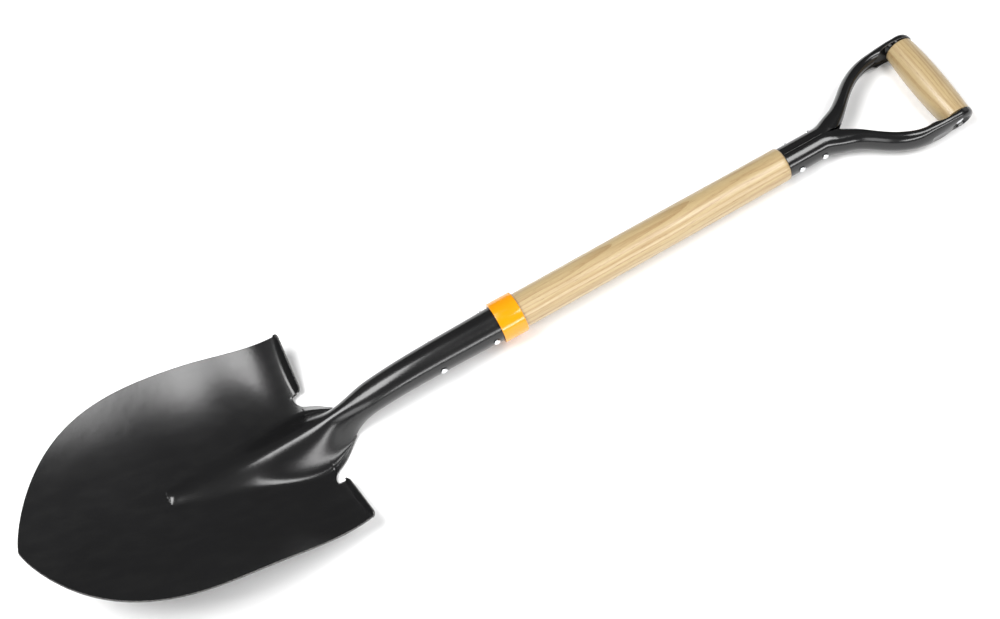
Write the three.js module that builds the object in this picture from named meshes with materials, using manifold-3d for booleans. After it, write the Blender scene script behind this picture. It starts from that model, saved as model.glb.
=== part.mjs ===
// Garden spade with a round-pointed pressed blade, a wooden shaft and a D-shaped grip.
//
// The tool is drawn along its shaft: +X runs up the shaft towards the grip, +Y is the tool's
// left, +Z is the hollow front face of the blade. X = 0 is the lower rim of the collar. At the
// end the tool is laid on its back, so that the heel of the blade and the grip ends touch z = 0.
// All sizes are in millimetres.

import * as THREE from 'three';
import * as BufferGeometryUtils from 'three/addons/utils/BufferGeometryUtils.js';
import Module from 'manifold-3d';

// ---------------------------------------------------------------- driving dimensions

const GAP = 0.3; // clearance kept between touching pieces

const BLADE_SHEET = 2.0; // thickness of the pressed blade
const BLADE_TIP_X = -486.4;
const BLADE_WIDEST_X = -300;
const BLADE_HALF_WIDTH = 114.6;
const DISH_AT_TIP = 0.00222; // rise of the dish per square of the distance from the middle
const DISH_AT_HEEL = 0.00255;
const POINT_POWER = 2.84; // shape of the rounded point, along the blade
const POINT_FULLNESS = 0.754; // shape of the rounded point, across the blade

const HEEL_X = -208.6; // middle of the line where pan, treads and neck meet
const HEEL_HALF_WIDTH = 110.8;
const HEEL_SKEW = 0.1217; // the heel line leans up the shaft towards the edges
const TREAD_INNER_Y = 54.6;
const TREAD_EDGE_INNER = new THREE.Vector3(-196.7, 54.6, -23.6); // straight front edge of a tread
const TREAD_EDGE_OUTER = new THREE.Vector3(-190.5, 110.8, -0.3);
const TREAD_LEAN = new THREE.Vector3(5.8, 0, 6.2).normalize(); // from the fold to the edge
const TREAD_OUTER_CORNER = 6; // corner radii of a tread
const TREAD_INNER_CORNER = 3;
const TREAD_TYPICAL_REACH = 8; // width of the strip, to start the search for its fold
const TREAD_BEND_SHARE = 0.2; // share of the strip's width taken by the bend at its root

const NECK_HALF_WIDTH = 46; // half width of the neck where it leaves the heel
const NOTCH_DEPTH = 5; // the round notch between neck and tread
const NOTCH_HALF_WIDTH = 8.6;
const FLARE_END_X = -192; // the socket has opened out completely here
const FLARE_START_X = -138; // the socket is still a round tube here
const HEEL_LEAN_END_X = -174; // the rows of the neck have straightened out here
const SOCKET_MOUTH_X = 12;
const SOCKET_RADIUS = 17.7; // at X = 0
const SOCKET_TAPER = 0.0155;
const SEAM_HALF_GAP = 1.5; // the rolled socket stays open by this much at the back

const RIB_NOSE_X = -352;
const RIB_NOSE_ROUND = 8; // the rib's nose is rounded off over this length
const RIB_NOSE_FULLNESS = 0.7;
const RIB_FULLNESS = 2; // higher is a narrower crest with wider flanks

const SHAFT_RADIUS = 17.9;
const SHAFT_TOP_RADIUS = 17.3;
const SHAFT_FOOT_X = -100;
const SHAFT_SHOULDER_X = 327.8;
const SHAFT_SHOULDER_ROUND = 2;
// The foot is tapered to a blunt end inside the socket: radius and X of each step.
const SHAFT_FOOT_TAPER = [[10.5, SHAFT_FOOT_X], [12.3, -95], [14.2, -60]];
const TENON_RADIUS = 13.7;
const TENON_END_X = 371;
const TENON_CHAMFER = 1;
const SHAFT_TAPER_X = [150, 240]; // the taper starts slowly between these places

const COLLAR_LENGTH = 25.4;
const COLLAR_RADIUS = 21.1;
const COLLAR_BORE = 18.3; // radius
const COLLAR_LOWER_CHAMFER = 0.5;
const COLLAR_UPPER_CHAMFER = 0.8;

const YOKE_SHEET = 1.6;
const YOKE_START_X = 328.2;
const FERRULE_RADIUS = 15.7;
const FERRULE_END_X = 372;
const ARM_HALF_WIDTH = 6.6; // of the closed arm section, across the tool
const ARM_HALF_DEPTH = 10.3; // of the closed arm section, front to back
const ARM_END_X = 464; // the arm's closed section starts to open into the end cup here
const CUP_START_X = 478;
const GRIP_X = 498.5;
const CUP_RADIUS = 15.7; // end cups of the yoke
const CUP_BASE_Y = 50.7;
const CUP_HEIGHT = 7;
const CUP_LEAN = 0.45; // share by which a cup is higher at the front and lower at the back
const CUP_FLOOR_Y = 52.6;
const CUP_FLOOR_RADIUS = 6.5;
const CUP_RIM_RADIUS = 11.5;
const CUP_ROUNDING = 0.7; // how the cup's height runs out round its end

const GRIP_HALF_LENGTH = 49.6;
const GRIP_END_RADIUS = 15;
const GRIP_MIDDLE_RADIUS = 17.1;
const GRIP_CHAMFER = 0.8;
const GRIP_ROD_RADIUS = 3;
const GRIP_HEAD_RADIUS = 5;
const GRIP_HEAD_HEIGHT = 2;

const PIN_RADIUS = 2;
const RIVET_HEAD_RADIUS = 3.4;
const RIVET_HEAD_HEIGHT = 2.3;
const RIVET_RIM_SHARE = 0.4; // share of a head's height taken by its upright rim
const RIVET_CROWN_SHARE = 0.6; // share of a head's radius taken by its flat crown
const SOCKET_RIVETS = { socket_rivet_lower: -66.7, socket_rivet_upper: -8.5 };
const YOKE_RIVETS = { yoke_rivet_lower: 340, yoke_rivet_upper: 367 };

// How finely the surfaces are divided.
const NECK_COLUMNS = 8;
const NECK_COLUMN_EASE = 1.1; // above 1 gathers the columns near the middle
const TREAD_COLUMNS = 7;
const PAN_ROWS = 7;
const POINT_ROWS = 8;
const FLARE_ROWS = 10;
const TUBE_ROWS = 7;
const FERRULE_ROWS = 3;
const ARM_ROWS = 12;
const CUP_ROWS = 4;
const CUP_ROUND_ROWS = 5;
const YOKE_COLUMNS = 16;
const GRIP_ROWS = 8;
const SHAFT_SIDES = 24;
const GRIP_SIDES = 20;
const RIVET_SIDES = 12;
const SHOULDER_STEPS = 3;
const SEARCH_STEPS = 12;

// ---------------------------------------------------------------- materials

function material(color, roughness, metalness) {
  return new THREE.MeshStandardMaterial({ color, roughness, metalness });
}

const MATERIALS = {
  blade: material(0x202022, 0.38, 0.35),
  yoke: material(0x1b1c1e, 0.3, 0.35),
  wood: material(0xe3cb9c, 0.5, 0.0),
  collar: material(0xffa10c, 0.35, 0.0),
  zinc: material(0xc9cbcd, 0.3, 0.9),
};

// ---------------------------------------------------------------- small helpers

const wasm = await Module();
wasm.setup();

function smoothstep(t) {
  const s = THREE.MathUtils.clamp(t, 0, 1);
  return s * s * (3 - 2 * s);
}

// A smooth function through a few points, listed by rising x.
function curveThrough(points) {
  const slope = points.map((point, i) => {
    const before = points[Math.max(i - 1, 0)];
    const after = points[Math.min(i + 1, points.length - 1)];
    return (after[1] - before[1]) / (after[0] - before[0]);
  });
  return (x) => {
    const last = points.length - 2;
    const next = points.findIndex((point) => point[0] > x) - 1;
    const i = next === -2 ? last : THREE.MathUtils.clamp(next, 0, last);
    const [x0, y0] = points[i];
    const [x1, y1] = points[i + 1];
    const t = THREE.MathUtils.clamp((x - x0) / (x1 - x0), 0, 1);
    const bend = (x1 - x0) * t * (1 - t);
    return y0 + (y1 - y0) * smoothstep(t) + bend * (slope[i] * (1 - t) - slope[i + 1] * t);
  };
}

function steps(from, to, count) {
  return Array.from({ length: count }, (_, i) => from + ((to - from) * (i + 1)) / count);
}

// Gives a surface of quads a thickness on the side opposite to its normals.
function thicken(points, quads, thickness) {
  const front = new THREE.BufferGeometry().setFromPoints(points);
  const triangles = [];
  for (const [a, b, c, d] of quads) {
    for (const triangle of [[a, b, c], [a, c, d]]) {
      const [p, q, r] = triangle.map((i) => points[i]);
      const flat = p.distanceTo(q) < 1e-6 || q.distanceTo(r) < 1e-6 || r.distanceTo(p) < 1e-6;
      if (!flat) triangles.push(triangle);
    }
  }
  front.setIndex(triangles.flat());
  front.computeVertexNormals();
  const normals = front.getAttribute('normal');
  const count = points.length;
  const back = points.map((point, i) => {
    const normal = new THREE.Vector3().fromBufferAttribute(normals, i);
    return point.clone().addScaledVector(normal, -thickness);
  });
  const edges = new Map();
  for (const [a, b, c] of triangles) {
    for (const [from, to] of [[a, b], [b, c], [c, a]]) edges.set(`${from} ${to}`, [from, to]);
  }
  const faces = triangles.flatMap(([a, b, c]) => [a, b, c, c + count, b + count, a + count]);
  for (const [from, to] of edges.values()) {
    if (edges.has(`${to} ${from}`)) continue;
    faces.push(from, from + count, to, to, from + count, to + count);
  }
  const solid = new THREE.BufferGeometry().setFromPoints([...points, ...back]);
  solid.setIndex(faces);
  return solid;
}

function toManifold(geometry) {
  const bare = geometry.clone();
  bare.deleteAttribute('normal');
  bare.deleteAttribute('uv');
  const merged = BufferGeometryUtils.mergeVertices(bare, 1e-4);
  const mesh = new wasm.Mesh({
    numProp: 3,
    vertProperties: new Float32Array(merged.getAttribute('position').array),
    triVerts: new Uint32Array(merged.getIndex().array),
  });
  return new wasm.Manifold(mesh);
}

function fromManifold(solid) {
  const mesh = solid.getMesh();
  const geometry = new THREE.BufferGeometry();
  geometry.setAttribute('position', new THREE.BufferAttribute(mesh.vertProperties, 3));
  geometry.setIndex(new THREE.BufferAttribute(mesh.triVerts, 1));
  geometry.computeVertexNormals();
  return geometry;
}

// A cross hole runs along Y through the middle of the tool at the given X.
function crossHole(x, radius) {
  const cylinder = new THREE.CylinderGeometry(radius, radius, 3 * CUP_BASE_Y, RIVET_SIDES);
  return toManifold(cylinder.translate(x, 0, 0));
}

function drilled(geometry, holes) {
  const solid = holes.reduce((body, hole) => body.subtract(hole), toManifold(geometry));
  return fromManifold(solid);
}

function lathe(profile, segments) {
  return new THREE.LatheGeometry(profile.map(([r, y]) => new THREE.Vector2(r, y)), segments);
}

// ---------------------------------------------------------------- blade surface

// Height of the middle of the pan, leaving the rib out.
const panHeight = curveThrough([
  [BLADE_TIP_X, 64.4],
  [-433, 43.1],
  [-356, 14.2],
  [-274, -14],
  [HEEL_X, -36.5],
  [-184, -34.8],
  [-150, -32],
  [FLARE_START_X, -31.5],
]);

// Height of the front line of the socket, the neck and the rib.
const crestHeight = curveThrough([
  [RIB_NOSE_X, 15.6],
  [-335, 10.2],
  [-310, 2.2],
  [-273, -5],
  [-240, -5.5],
  [-210, -4.5],
  [-180, -0.5],
  [-150, 7.2],
  [-120, 13.1],
  [-80, 16.4],
  [-40, 17.1],
  [SOCKET_MOUTH_X, 17.9],
]);

const ribHalfWidth = curveThrough([
  [RIB_NOSE_X, 9.5],
  [-318, 17],
  [-280, 26],
  [-240, 35],
  [-214, 38],
  [-200, 35],
  [-184, 27.5],
  [-172, 25],
  [-150, 23.2],
  [FLARE_START_X, 22.8],
]);

const neckHalfWidth = curveThrough([
  [HEEL_X, NECK_HALF_WIDTH],
  [-203.7, 41],
  [-194, 35.6],
  [-184, 30],
  [-172, 26],
  [-150, 24],
  [FLARE_START_X, 23.5],
]);

function panHalfWidth(x) {
  if (x > BLADE_WIDEST_X) {
    const s = (x - BLADE_WIDEST_X) / (HEEL_X - BLADE_WIDEST_X);
    return BLADE_HALF_WIDTH + (HEEL_HALF_WIDTH - BLADE_HALF_WIDTH) * s * s;
  }
  const s = Math.min((BLADE_WIDEST_X - x) / (BLADE_WIDEST_X - BLADE_TIP_X), 1);
  return BLADE_HALF_WIDTH * Math.max(1 - s ** POINT_POWER, 0) ** POINT_FULLNESS;
}

function bareSurface(x, y) {
  const share = (x - BLADE_TIP_X) / (HEEL_X - BLADE_TIP_X);
  return panHeight(x) + THREE.MathUtils.lerp(DISH_AT_TIP, DISH_AT_HEEL, share) * y * y;
}

function bladeSurface(x, y) {
  const across = y / ribHalfWidth(x);
  const nose = THREE.MathUtils.clamp((RIB_NOSE_X + RIB_NOSE_ROUND - x) / RIB_NOSE_ROUND, 0, 1);
  const full = Math.max(crestHeight(x) - panHeight(x), 0);
  const rise = full * (1 - nose * nose) ** RIB_NOSE_FULLNESS;
  const rib = rise * Math.max(1 - across * across, 0) ** RIB_FULLNESS;
  return bareSurface(x, y) + rib;
}

// A tread is a flat strip. Its fold is where its plane meets the dished pan.
function treadLine(y) {
  const share = (y - TREAD_INNER_Y) / (HEEL_HALF_WIDTH - TREAD_INNER_Y);
  const edge = TREAD_EDGE_INNER.clone().lerp(TREAD_EDGE_OUTER, share);
  let reach = TREAD_TYPICAL_REACH;
  for (let i = 0; i < SEARCH_STEPS; i += 1) {
    reach = (edge.z - bareSurface(edge.x - TREAD_LEAN.x * reach, y)) / TREAD_LEAN.z;
  }
  const fold = edge.clone().addScaledVector(TREAD_LEAN, -reach);
  return { fold, reach };
}

function heelX(y) {
  if (y >= TREAD_INNER_Y) return treadLine(y).fold.x;
  const across = (y - (NECK_HALF_WIDTH + TREAD_INNER_Y) / 2) / NOTCH_HALF_WIDTH;
  const notch = NOTCH_DEPTH * Math.max(1 - across * across, 0);
  return HEEL_X + HEEL_SKEW * y - notch;
}

function treadReach(y) {
  const { reach } = treadLine(y);
  const outer = Math.max(y - (HEEL_HALF_WIDTH - TREAD_OUTER_CORNER), 0);
  const inner = Math.max(TREAD_INNER_Y + TREAD_INNER_CORNER - y, 0);
  const outerCut = TREAD_OUTER_CORNER - Math.sqrt(TREAD_OUTER_CORNER ** 2 - outer ** 2);
  const innerCut = TREAD_INNER_CORNER - Math.sqrt(TREAD_INNER_CORNER ** 2 - inner ** 2);
  return reach - outerCut - innerCut;
}

function socketPoint(x, share) {
  const radius = SOCKET_RADIUS + SOCKET_TAPER * x;
  const angle = (Math.PI - SEAM_HALF_GAP / radius) * share;
  const middle = crestHeight(x) - radius;
  return [radius * Math.sin(angle), middle + radius * Math.cos(angle)];
}

function neckPoint(x, share) {
  const y = neckHalfWidth(x) * share;
  return [y, bladeSurface(x, y)];
}

// One half of the blade, as rows of points from the middle outwards. Mirrored later.
function bladeRows() {
  const neckShares = [0, ...steps(0, 1, NECK_COLUMNS).map((s) => s ** NECK_COLUMN_EASE)];
  const treadYs = [0, ...steps(0, 1, TREAD_COLUMNS)].map((s) => {
    const eased = (1 - Math.cos(Math.PI * s)) / 2;
    return TREAD_INNER_Y + (HEEL_HALF_WIDTH - TREAD_INNER_Y) * eased;
  });
  const heelYs = [...neckShares.map((s) => s * NECK_HALF_WIDTH), ...treadYs];

  const straightRows = [HEEL_X, ...steps(HEEL_X, BLADE_WIDEST_X, PAN_ROWS)];
  const pointRows = steps(0, Math.PI / 2, POINT_ROWS).map((angle) => {
    return BLADE_WIDEST_X - (BLADE_WIDEST_X - BLADE_TIP_X) * Math.sin(angle);
  });
  const pan = [...straightRows, ...pointRows].map((rowX) => {
    const lean = Math.max((rowX - BLADE_WIDEST_X) / (HEEL_X - BLADE_WIDEST_X), 0);
    return heelYs.map((heelY) => {
      const x = rowX + (heelX(heelY) - HEEL_X) * lean;
      const y = (heelY / HEEL_HALF_WIDTH) * panHalfWidth(x);
      return new THREE.Vector3(x, y, bladeSurface(x, y));
    });
  });

  const flareRows = steps(HEEL_X, FLARE_START_X, FLARE_ROWS);
  const tubeRows = steps(FLARE_START_X, SOCKET_MOUTH_X, TUBE_ROWS);
  const neck = [...flareRows, ...tubeRows].map((rowX) => {
    const lean = Math.max(1 - (rowX - HEEL_X) / (HEEL_LEAN_END_X - HEEL_X), 0);
    const open = smoothstep((FLARE_START_X - rowX) / (FLARE_START_X - FLARE_END_X));
    return neckShares.map((share) => {
      const x = rowX + (heelX(share * NECK_HALF_WIDTH) - HEEL_X) * lean;
      const [tubeY, tubeZ] = socketPoint(x, share);
      const [flatY, flatZ] = neckPoint(x, share);
      const y = THREE.MathUtils.lerp(tubeY, flatY, open);
      return new THREE.Vector3(x, y, THREE.MathUtils.lerp(tubeZ, flatZ, open));
    });
  });

  const tread = [TREAD_BEND_SHARE, 1].map((part) => treadYs.map((y) => {
    const { fold } = treadLine(y);
    return fold.clone().addScaledVector(TREAD_LEAN, treadReach(y) * part);
  }));
  return { pan, neck, tread };
}

function bladeGeometry() {
  const { pan, neck, tread } = bladeRows();
  const points = [];
  const quads = [];
  const addRow = (row) => row.map((point) => points.push(point) - 1);
  const mirror = (row) => addRow(row.map((p) => new THREE.Vector3(p.x, -p.y, p.z)));

  // Rows run towards the tip in the pan and towards the grip in the neck and the treads.
  const join = (rowA, rowB, flip) => {
    for (let i = 0; i + 1 < rowA.length; i += 1) {
      const quad = [rowA[i], rowA[i + 1], rowB[i + 1], rowB[i]];
      quads.push(flip ? quad.reverse() : quad);
    }
  };
  const link = (rows, flip) => {
    for (let i = 0; i + 1 < rows.length; i += 1) join(rows[i], rows[i + 1], flip);
  };

  const neckCount = neck[0].length;
  const left = { pan: pan.map(addRow), neck: neck.map(addRow), tread: tread.map(addRow) };
  const right = { pan: pan.map(mirror), neck: neck.map(mirror), tread: tread.map(mirror) };
  for (const side of [left, right]) {
    const flip = side === right;
    const heel = side.pan[0];
    link(side.pan, flip);
    link([heel.slice(0, neckCount), ...side.neck], !flip);
    link([heel.slice(neckCount), ...side.tread], !flip);
  }
  const welded = weld(points, quads);
  return thicken(welded.points, welded.quads, BLADE_SHEET);
}

// Merges points that lie on each other, such as the two halves along the middle.
function weld(points, quads) {
  const kept = [];
  const places = new Map();
  const index = points.map((point) => {
    const key = point.toArray().map((value) => Math.round(value * 1000)).join(' ');
    if (!places.has(key)) places.set(key, kept.push(point) - 1);
    return places.get(key);
  });
  return { points: kept, quads: quads.map((quad) => quad.map((i) => index[i])) };
}

// ---------------------------------------------------------------- yoke surface

const armY = curveThrough([
  [FERRULE_END_X, 0],
  [384, 6.5],
  [400, 16],
  [411, 24.6],
  [423, 34.8],
  [442, 46.6],
  [458, 51.3],
  [472, 51.8],
  [484, CUP_BASE_Y],
  [514, CUP_BASE_Y],
]);

// Half the width of the arm, measured along Y, so it is larger where the arm runs slanted.
const armHalfWidth = curveThrough([
  [FERRULE_END_X, FERRULE_RADIUS],
  [386, 13],
  [400, 10.6],
  [423, 9.1],
  [446, ARM_HALF_WIDTH + 1],
  [466, ARM_HALF_WIDTH],
  [484, CUP_HEIGHT],
]);

const armHalfDepth = curveThrough([
  [FERRULE_END_X, FERRULE_RADIUS],
  [392, 13],
  [414, ARM_HALF_DEPTH],
  [450, ARM_HALF_DEPTH + 0.3],
  [480, CUP_RADIUS - 0.6],
  [GRIP_X, CUP_RADIUS],
]);

// How far the sheet wraps round the arm, as an angle from the outermost line.
const armWrap = curveThrough([
  [FERRULE_END_X, 89],
  [384, 113],
  [392, 143],
  [402, 166],
  [ARM_END_X, 166],
  [CUP_START_X, 92],
  [514, 92],
]);

// How far the inner side of the arm leans forward.
const armLean = curveThrough([
  [384, 0],
  [400, 4],
  [412, 6.8],
  [440, 6.8],
  [458, 4],
  [CUP_START_X, 0],
]);

// How square the section is: 1 is an ellipse.
const armSquareness = curveThrough([
  [ARM_END_X, 1],
  [486, 0.75],
]);

function cupDish(x, z) {
  const radius = Math.hypot(x - GRIP_X, z);
  const part = smoothstep((radius - CUP_FLOOR_RADIUS) / (CUP_RIM_RADIUS - CUP_FLOOR_RADIUS));
  const rim = CUP_BASE_Y + CUP_HEIGHT * (1 + (CUP_LEAN * z) / CUP_RADIUS);
  return THREE.MathUtils.lerp(CUP_FLOOR_Y, rim, part);
}

function yokePoint(x, share) {
  const past = Math.max(x - GRIP_X, 0);
  const round = Math.sqrt(Math.max(1 - (past / CUP_RADIUS) ** 2, 0));
  const angle = THREE.MathUtils.degToRad(armWrap(x)) * share;
  const squareness = armSquareness(x);
  const out = Math.sign(Math.cos(angle)) * Math.abs(Math.cos(angle)) ** squareness;
  const front = Math.sign(Math.sin(angle)) * Math.abs(Math.sin(angle)) ** squareness;
  const lean = CUP_LEAN * smoothstep((x - ARM_END_X) / (GRIP_X - ARM_END_X));
  const z = armHalfDepth(x) * round * front + (armLean(x) * (1 - out)) / 2;
  const reach = armHalfWidth(x) * round ** CUP_ROUNDING * out * (1 + (lean * z) / CUP_RADIUS);
  return new THREE.Vector3(x, Math.min(armY(x) + reach, cupDish(x, z)), z);
}

function yokeRows() {
  const ferrule = [YOKE_START_X, ...steps(YOKE_START_X, FERRULE_END_X, FERRULE_ROWS)];
  const arm = steps(FERRULE_END_X, ARM_END_X, ARM_ROWS);
  const opening = steps(ARM_END_X, CUP_START_X, 2);
  const cup = steps(CUP_START_X, GRIP_X, CUP_ROWS);
  const round = steps(0, Math.PI / 2, CUP_ROUND_ROWS).map((angle) => {
    return GRIP_X + CUP_RADIUS * Math.sin(angle);
  });
  return [...ferrule, ...arm, ...opening, ...cup, ...round];
}

function yokeGeometry(side) {
  const shares = [-1, ...steps(-1, 1, YOKE_COLUMNS)];
  const points = [];
  const quads = [];
  const rows = yokeRows().map((x) => shares.map((share) => {
    const point = yokePoint(x, share);
    point.y *= side;
    return points.push(point) - 1;
  }));
  for (let i = 0; i + 1 < rows.length; i += 1) {
    for (let j = 0; j + 1 < shares.length; j += 1) {
      const quad = [rows[i][j], rows[i][j + 1], rows[i + 1][j + 1], rows[i + 1][j]];
      quads.push(side > 0 ? quad : quad.reverse());
    }
  }
  const welded = weld(points, quads);
  return thicken(welded.points, welded.quads, YOKE_SHEET);
}

// ---------------------------------------------------------------- turned pieces

// Turned along the shaft, so the lathe's axis becomes X.
function shaftGeometry() {
  const shoulder = steps(0, Math.PI / 2, SHOULDER_STEPS).map((angle) => [
    SHAFT_TOP_RADIUS - SHAFT_SHOULDER_ROUND * (1 - Math.cos(angle)),
    SHAFT_SHOULDER_X - SHAFT_SHOULDER_ROUND * (1 - Math.sin(angle)),
  ]);
  const inSocket = SOCKET_RADIUS - BLADE_SHEET - GAP;
  const profile = [
    [0, SHAFT_FOOT_X],
    ...SHAFT_FOOT_TAPER,
    [inSocket, SOCKET_MOUTH_X],
    [inSocket, SOCKET_MOUTH_X + GAP],
    [SHAFT_RADIUS, SOCKET_MOUTH_X + GAP],
    [SHAFT_RADIUS, SHAFT_TAPER_X[0]],
    [(SHAFT_RADIUS + SHAFT_TOP_RADIUS) / 2, SHAFT_TAPER_X[1]],
    [SHAFT_TOP_RADIUS, SHAFT_SHOULDER_X - SHAFT_SHOULDER_ROUND],
    ...shoulder,
    [TENON_RADIUS, SHAFT_SHOULDER_X],
    [TENON_RADIUS, TENON_END_X - TENON_CHAMFER],
    [TENON_RADIUS - TENON_CHAMFER, TENON_END_X],
    [0, TENON_END_X],
  ];
  return lathe(profile, SHAFT_SIDES).rotateZ(-Math.PI / 2);
}

function collarGeometry() {
  const profile = [
    [COLLAR_BORE, 0],
    [COLLAR_RADIUS - COLLAR_LOWER_CHAMFER, 0],
    [COLLAR_RADIUS, COLLAR_LOWER_CHAMFER],
    [COLLAR_RADIUS, COLLAR_LENGTH - COLLAR_UPPER_CHAMFER],
    [COLLAR_RADIUS - COLLAR_UPPER_CHAMFER, COLLAR_LENGTH],
    [COLLAR_BORE, COLLAR_LENGTH],
    [COLLAR_BORE, 0],
  ];
  return lathe(profile, SHAFT_SIDES).rotateZ(-Math.PI / 2);
}

// The cross grip is turned about Y, thicker in the middle.
function gripGeometry() {
  const bore = GRIP_ROD_RADIUS + GAP;
  const barrel = [-1, ...steps(-1, 1, GRIP_ROWS)].map((share) => [
    GRIP_END_RADIUS + (GRIP_MIDDLE_RADIUS - GRIP_END_RADIUS) * (1 - share * share),
    (GRIP_HALF_LENGTH - GRIP_CHAMFER) * share,
  ]);
  const profile = [
    [bore, -GRIP_HALF_LENGTH],
    [GRIP_END_RADIUS - GRIP_CHAMFER, -GRIP_HALF_LENGTH],
    ...barrel,
    [GRIP_END_RADIUS - GRIP_CHAMFER, GRIP_HALF_LENGTH],
    [bore, GRIP_HALF_LENGTH],
    [bore, -GRIP_HALF_LENGTH],
  ];
  return lathe(profile, GRIP_SIDES);
}

// A through rivet along Y: a rod with a domed head at each end.
function rivetGeometry(rodRadius, headRadius, headHeight, underHead) {
  const top = underHead + headHeight;
  const half = [
    [rodRadius, underHead],
    [headRadius, underHead],
    [headRadius, underHead + headHeight * RIVET_RIM_SHARE],
    [headRadius * RIVET_CROWN_SHARE, top],
    [0, top],
  ];
  const other = half.map(([r, y]) => [r, -y]).reverse();
  return lathe([...other, ...half], RIVET_SIDES);
}

// ---------------------------------------------------------------- assembly

function part(name, geometry, look) {
  const mesh = new THREE.Mesh(geometry, look);
  mesh.name = name;
  return mesh;
}

const tool = new THREE.Group();

const holeRadius = PIN_RADIUS + GAP;
const socketHoles = Object.values(SOCKET_RIVETS).map((x) => crossHole(x, holeRadius));
const yokeHoles = Object.values(YOKE_RIVETS).map((x) => crossHole(x, holeRadius));
const gripHole = crossHole(GRIP_X, GRIP_ROD_RADIUS + GAP);

tool.add(part('blade', drilled(bladeGeometry(), socketHoles), MATERIALS.blade));
const shaftHoles = [...socketHoles, ...yokeHoles];
tool.add(part('shaft', drilled(shaftGeometry(), shaftHoles), MATERIALS.wood));
tool.add(part('collar', collarGeometry(), MATERIALS.collar));
for (const [name, side] of [['yoke_left', 1], ['yoke_right', -1]]) {
  const shell = drilled(yokeGeometry(side), [...yokeHoles, gripHole]);
  tool.add(part(name, shell, MATERIALS.yoke));
}

for (const [name, x] of Object.entries(SOCKET_RIVETS)) {
  const underHead = SOCKET_RADIUS + SOCKET_TAPER * x + GAP;
  const rivet = rivetGeometry(PIN_RADIUS, RIVET_HEAD_RADIUS, RIVET_HEAD_HEIGHT, underHead);
  const mesh = part(name, rivet, MATERIALS.zinc);
  mesh.position.x = x;
  tool.add(mesh);
}
for (const [name, x] of Object.entries(YOKE_RIVETS)) {
  const underHead = FERRULE_RADIUS + GAP;
  const rivet = rivetGeometry(PIN_RADIUS, RIVET_HEAD_RADIUS, RIVET_HEAD_HEIGHT, underHead);
  const mesh = part(name, rivet, MATERIALS.zinc);
  mesh.position.x = x;
  tool.add(mesh);
}

const grip = part('grip', gripGeometry(), MATERIALS.wood);
const rod = rivetGeometry(GRIP_ROD_RADIUS, GRIP_HEAD_RADIUS, GRIP_HEAD_HEIGHT, CUP_FLOOR_Y + 2 * GAP);
const gripRivet = part('grip_rivet', rod, MATERIALS.zinc);
for (const mesh of [grip, gripRivet]) {
  mesh.position.x = GRIP_X;
  tool.add(mesh);
}

// ---------------------------------------------------------------- laid on its back

function lowestPoint(group, accept) {
  group.updateMatrixWorld(true);
  let lowest = null;
  group.traverse((mesh) => {
    if (!mesh.isMesh) return;
    const position = mesh.geometry.getAttribute('position');
    for (let i = 0; i < position.count; i += 1) {
      const local = new THREE.Vector3().fromBufferAttribute(position, i).add(mesh.position);
      const world = local.clone().applyMatrix4(group.matrixWorld);
      if (accept(local) && (!lowest || world.z < lowest.z)) lowest = world;
    }
  });
  return lowest;
}

// Turns the tool about Y until the heel of the blade and the grip ends are level.
for (let i = 0; i < SEARCH_STEPS; i += 1) {
  const heel = lowestPoint(tool, (point) => point.x < 0);
  const end = lowestPoint(tool, (point) => point.x > FERRULE_END_X);
  tool.rotation.y += Math.atan2(end.z - heel.z, end.x - heel.x);
}
tool.updateMatrixWorld(true);
const box = new THREE.Box3().setFromObject(tool, true);
const middle = box.getCenter(new THREE.Vector3());
tool.position.set(-middle.x, -middle.y, -box.min.z);

const spade = new THREE.Group();
spade.add(tool);

export default spade;
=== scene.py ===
"""A round-pointed garden spade with a D grip, lying on its back on a pale floor.

Every piece is drawn in the tool's own frame, in millimetres: +X runs up the shaft towards the
grip, +Y is the tool's left, +Z is the hollow front face of the blade, and X = 0 is the lower rim
of the collar. TOOL places that frame in the row frame, in metres.
"""

import math

import bpy
import numpy as np
from mathutils import Matrix, Vector


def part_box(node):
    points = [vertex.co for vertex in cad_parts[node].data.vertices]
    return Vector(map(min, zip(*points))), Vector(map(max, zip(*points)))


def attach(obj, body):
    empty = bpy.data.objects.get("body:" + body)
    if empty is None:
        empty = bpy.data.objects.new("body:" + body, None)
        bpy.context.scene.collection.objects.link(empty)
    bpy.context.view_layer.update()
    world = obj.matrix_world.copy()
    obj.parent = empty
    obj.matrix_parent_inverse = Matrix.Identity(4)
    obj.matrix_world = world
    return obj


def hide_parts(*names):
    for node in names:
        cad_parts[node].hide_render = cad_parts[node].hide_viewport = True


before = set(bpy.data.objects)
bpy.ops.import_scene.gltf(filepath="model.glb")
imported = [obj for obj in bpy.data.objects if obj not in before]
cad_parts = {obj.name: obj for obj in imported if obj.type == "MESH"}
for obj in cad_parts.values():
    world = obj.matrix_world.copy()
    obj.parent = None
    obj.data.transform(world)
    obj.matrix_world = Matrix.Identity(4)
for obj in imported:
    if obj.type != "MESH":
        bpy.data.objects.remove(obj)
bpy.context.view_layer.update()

MM = 0.001

# ---------------------------------------------------------------- sizes, in millimetres

BLADE_SHEET = 2.0
BLADE_TIP_X = -486.4
BLADE_WIDEST_X = -300.0
BLADE_HALF_WIDTH = 114.6
DISH_AT_TIP = 0.00222
DISH_AT_HEEL = 0.00255
POINT_POWER = 2.84
POINT_FULLNESS = 0.754

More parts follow.
